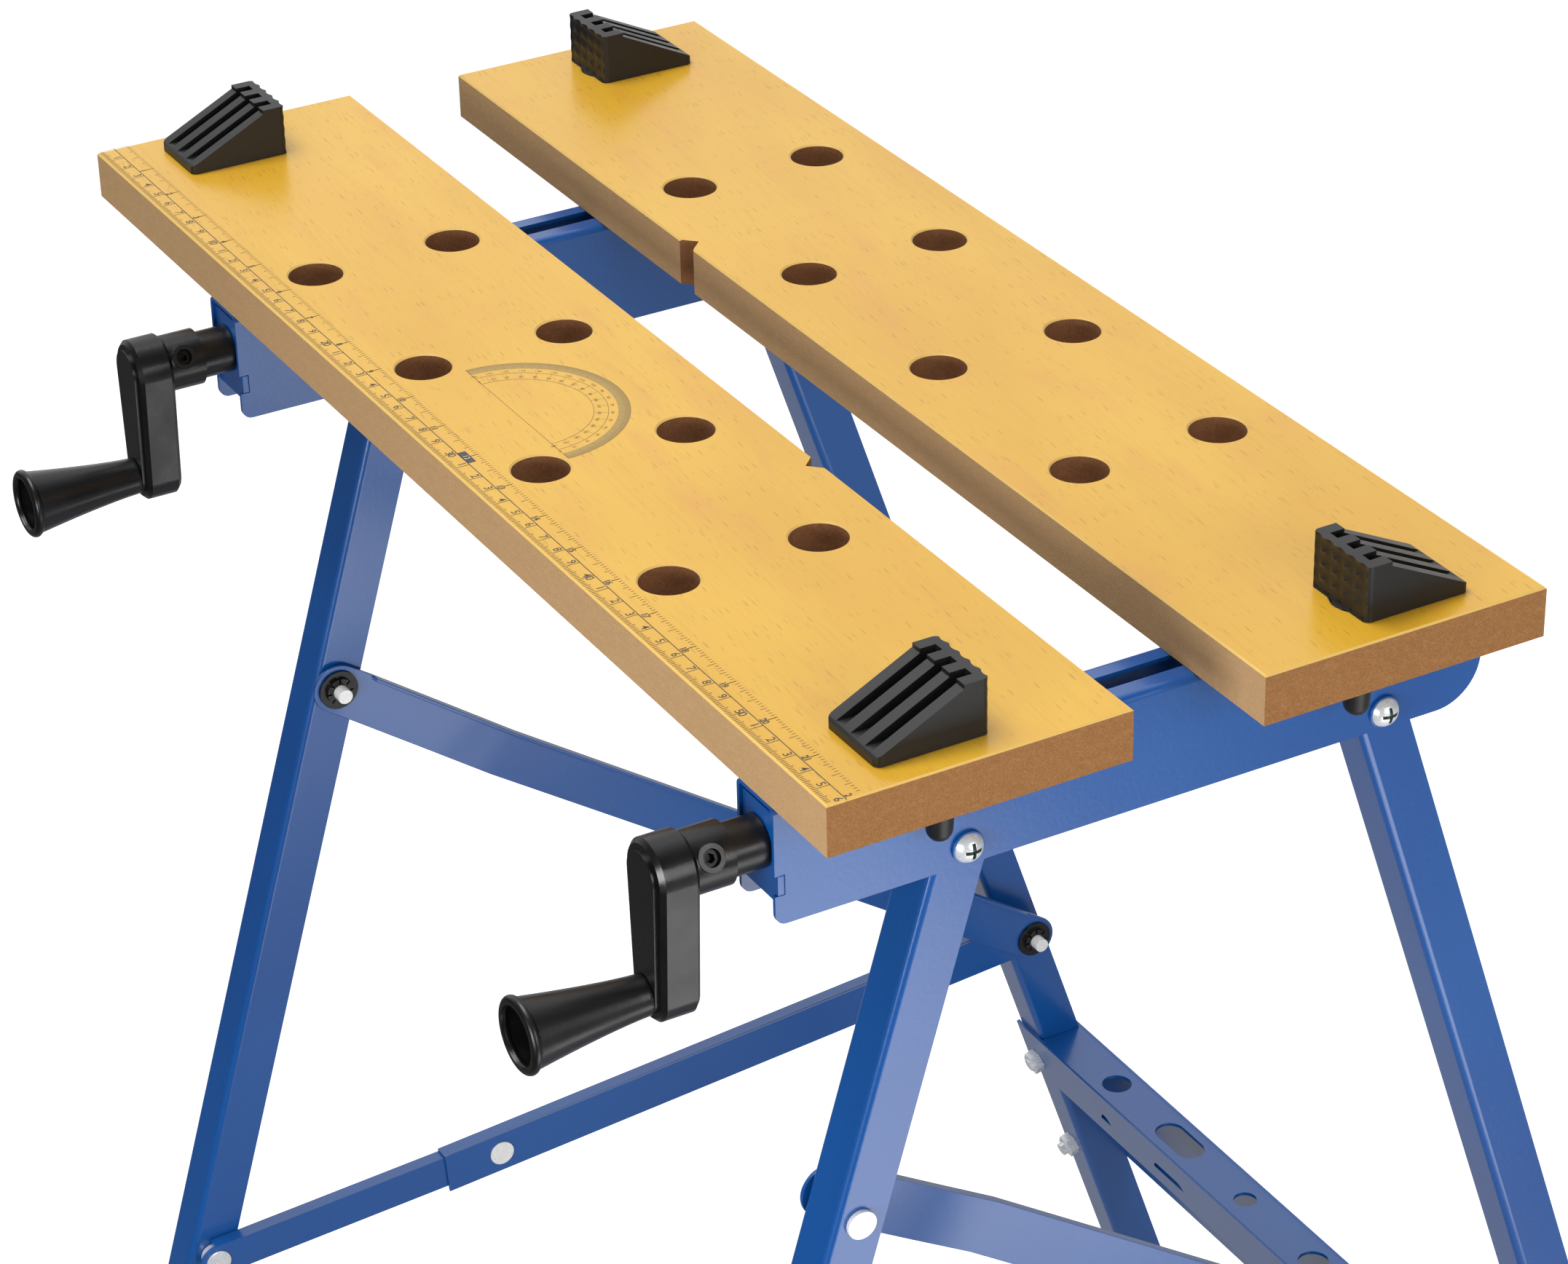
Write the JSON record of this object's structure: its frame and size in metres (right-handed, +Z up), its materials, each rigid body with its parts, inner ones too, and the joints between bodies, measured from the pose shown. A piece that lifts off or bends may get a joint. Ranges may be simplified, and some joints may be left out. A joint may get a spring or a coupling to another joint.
{
  "type": "folding workbench",
  "caption": "Folding workbench with a two-board vice top, hand cranks, bench dogs, folding steel legs with links and braces, and a tool rack.",
  "frame": {"origin": "on the floor, under the middle of the bench's bounding box", "axes": "+Z up, the boards run along X, the cranks point to -Y"},
  "size_m": [0.5644, 0.6438, 0.7997],
  "materials": {
    "beech_print_board": "printed beech film over fibreboard, satin",
    "blue_powder_coat": "blue powder coat, semi-gloss",
    "zinc_plate": "bright zinc plate",
    "black_plastic": "moulded black plastic, satin"
  },
  "bodies": {
    "frame": {"front_jaw_board": "beech_print_board", "front_jaw_screws": "zinc_plate", "rail_left": "blue_powder_coat", "rail_right": "blue_powder_coat", "front_end_plates": "blue_powder_coat", "rear_end_plates": "blue_powder_coat", "leg_pivot_bolts": "zinc_plate", "leg_pivot_washers": "blue_powder_coat", "leg_pivot_nuts": "zinc_plate", "leg_pivot_bushes": "zinc_plate"},
    "rear_jaw": {"rear_jaw_board": "beech_print_board", "rear_jaw_screws": "zinc_plate", "jaw_carrier_left": "black_plastic", "jaw_carrier_right": "black_plastic"},
    "front_legs": {"front_leg_left": "blue_powder_coat", "front_leg_right": "blue_powder_coat", "front_feet": "black_plastic", "front_cross_bar": "blue_powder_coat", "cross_bar_bolts": "zinc_plate", "cross_bar_nuts": "zinc_plate", "link_rivet_heads": "zinc_plate", "brace_rivet_heads": "zinc_plate"},
    "rear_legs": {"rear_leg_left": "blue_powder_coat", "rear_leg_right": "blue_powder_coat", "rear_feet": "black_plastic", "tool_rack": "blue_powder_coat", "rack_bolts": "zinc_plate", "rack_nuts": "zinc_plate", "rear_rivets": "zinc_plate", "rear_spacers": "zinc_plate", "rear_washers": "zinc_plate", "rear_caps": "black_plastic"},
    "crank_left": {"spindle_left": "zinc_plate", "crank_left": "black_plastic", "crank_pin_left": "zinc_plate"},
    "grip_left": {"grip_left": "black_plastic"},
    "diagonal_link_left": {"diagonal_link_left": "blue_powder_coat", "link_pin_left": "zinc_plate", "link_cap_left": "black_plastic"},
    "brace_rear_left": {"brace_rear_left": "blue_powder_coat", "knee_rivet_left": "zinc_plate"},
    "brace_front_left": {"brace_front_left": "blue_powder_coat", "brace_pin_left": "zinc_plate"},
    "dog_front_left": {"dog_front_left": "black_plastic"},
    "dog_rear_left": {"dog_rear_left": "black_plastic"},
    "crank_right": {"spindle_right": "zinc_plate", "crank_right": "black_plastic", "crank_pin_right": "zinc_plate"},
    "grip_right": {"grip_right": "black_plastic"},
    "diagonal_link_right": {"diagonal_link_right": "blue_powder_coat", "link_pin_right": "zinc_plate", "link_cap_right": "black_plastic"},
    "brace_rear_right": {"brace_rear_right": "blue_powder_coat", "knee_rivet_right": "zinc_plate"},
    "brace_front_right": {"brace_front_right": "blue_powder_coat", "brace_pin_right": "zinc_plate"},
    "dog_front_right": {"dog_front_right": "black_plastic"},
    "dog_rear_right": {"dog_rear_right": "black_plastic"}
  },
  "joints": [
    {"name": "rear_leg_fold", "type": "hinge", "parent": "frame", "child": "rear_legs", "pos_m": [0.034, 0.06612, 0.7267], "axis": [1, 0, 0], "range_deg": [0, 63.5]},
    {"name": "front_leg_fold", "type": "hinge", "parent": "frame", "child": "front_legs", "pos_m": [0.034, -0.09138, 0.7267], "axis": [1, 0, 0], "range_deg": [0, 98.7]},
    {"name": "diagonal_link_left_swing", "type": "hinge", "parent": "rear_legs", "child": "diagonal_link_left", "pos_m": [-0.166, 0.18226, 0.37961], "axis": [1, 0, 0], "range_deg": [-33.51, 0]},
    {"name": "brace_rear_left_swing", "type": "hinge", "parent": "rear_legs", "child": "brace_rear_left", "pos_m": [-0.166, 0.18226, 0.37961], "axis": [1, 0, 0], "range_deg": [-73.9, 0]},
    {"name": "brace_knee_left", "type": "hinge", "parent": "brace_rear_left", "child": "brace_front_left", "pos_m": [-0.166, -0.07603, 0.36039], "axis": [1, 0, 0], "range_deg": [0, 173.06]},
    {"name": "diagonal_link_right_swing", "type": "hinge", "parent": "rear_legs", "child": "diagonal_link_right", "pos_m": [0.234, 0.18226, 0.37961], "axis": [1, 0, 0], "range_deg": [-33.51, 0]},
    {"name": "brace_rear_right_swing", "type": "hinge", "parent": "rear_legs", "child": "brace_rear_right", "pos_m": [0.234, 0.18226, 0.37961], "axis": [1, 0, 0], "range_deg": [-73.9, 0]},
    {"name": "brace_knee_right", "type": "hinge", "parent": "brace_rear_right", "child": "brace_front_right", "pos_m": [0.234, -0.07603, 0.36039], "axis": [1, 0, 0], "range_deg": [0, 173.06]},
    {"name": "crank_right_turn", "type": "hinge", "parent": "frame", "child": "crank_right", "pos_m": [0.234, -0.15938, 0.7448], "axis": [0, -1, 0], "range_deg": [-5400.01, 3600.01]},
    {"name": "crank_left_turn", "type": "hinge", "parent": "frame", "child": "crank_left", "pos_m": [-0.166, -0.15938, 0.7448], "axis": [0, -1, 0], "range_deg": [-5400.01, 3600.01]},
    {"name": "jaw_slide", "type": "slide", "parent": "frame", "child": "rear_jaw", "axis": [0, 1, 0], "range_m": [-0.045, 0.03]},
    {"name": "grip_left_spin", "type": "hinge", "parent": "crank_left", "child": "grip_left", "pos_m": [-0.166, -0.21438, 0.7028], "axis": [0, -1, 0], "continuous": true},
    {"name": "grip_right_spin", "type": "hinge", "parent": "crank_right", "child": "grip_right", "pos_m": [0.234, -0.21438, 0.7028], "axis": [0, -1, 0], "continuous": true},
    {"name": "dog_front_left_swivel", "type": "hinge", "parent": "frame", "child": "dog_front_left", "pos_m": [-0.25725, -0.10588, 0.78], "axis": [0, 0, 1], "continuous": true},
    {"name": "dog_front_right_swivel", "type": "hinge", "parent": "frame", "child": "dog_front_right", "pos_m": [0.25275, -0.10588, 0.78], "axis": [0, 0, 1], "continuous": true},
    {"name": "dog_rear_left_swivel", "type": "hinge", "parent": "rear_jaw", "child": "dog_rear_left", "pos_m": [-0.25275, 0.04612, 0.78], "axis": [0, 0, 1], "continuous": true},
    {"name": "dog_rear_right_swivel", "type": "hinge", "parent": "rear_jaw", "child": "dog_rear_right", "pos_m": [0.25725, 0.04612, 0.78], "axis": [0, 0, 1], "continuous": true}
  ],
  "couplings": [
    {"joint": "front_leg_fold", "follows": "rear_leg_fold", "ratio": 1.5543},
    {"joint": "diagonal_link_left_swing", "follows": "rear_leg_fold", "ratio": -0.52778},
    {"joint": "brace_rear_left_swing", "follows": "rear_leg_fold", "ratio": -1.1638},
    {"joint": "brace_knee_left", "follows": "rear_leg_fold", "ratio": 2.7254},
    {"joint": "diagonal_link_right_swing", "follows": "rear_leg_fold", "ratio": -0.52778},
    {"joint": "brace_rear_right_swing", "follows": "rear_leg_fold", "ratio": -1.1638},
    {"joint": "brace_knee_right", "follows": "rear_leg_fold", "ratio": 2.7254},
    {"joint": "crank_right_turn", "follows": "jaw_slide", "rad_per_m": 2094.4},
    {"joint": "crank_left_turn", "follows": "jaw_slide", "rad_per_m": 2094.4}
  ]
}
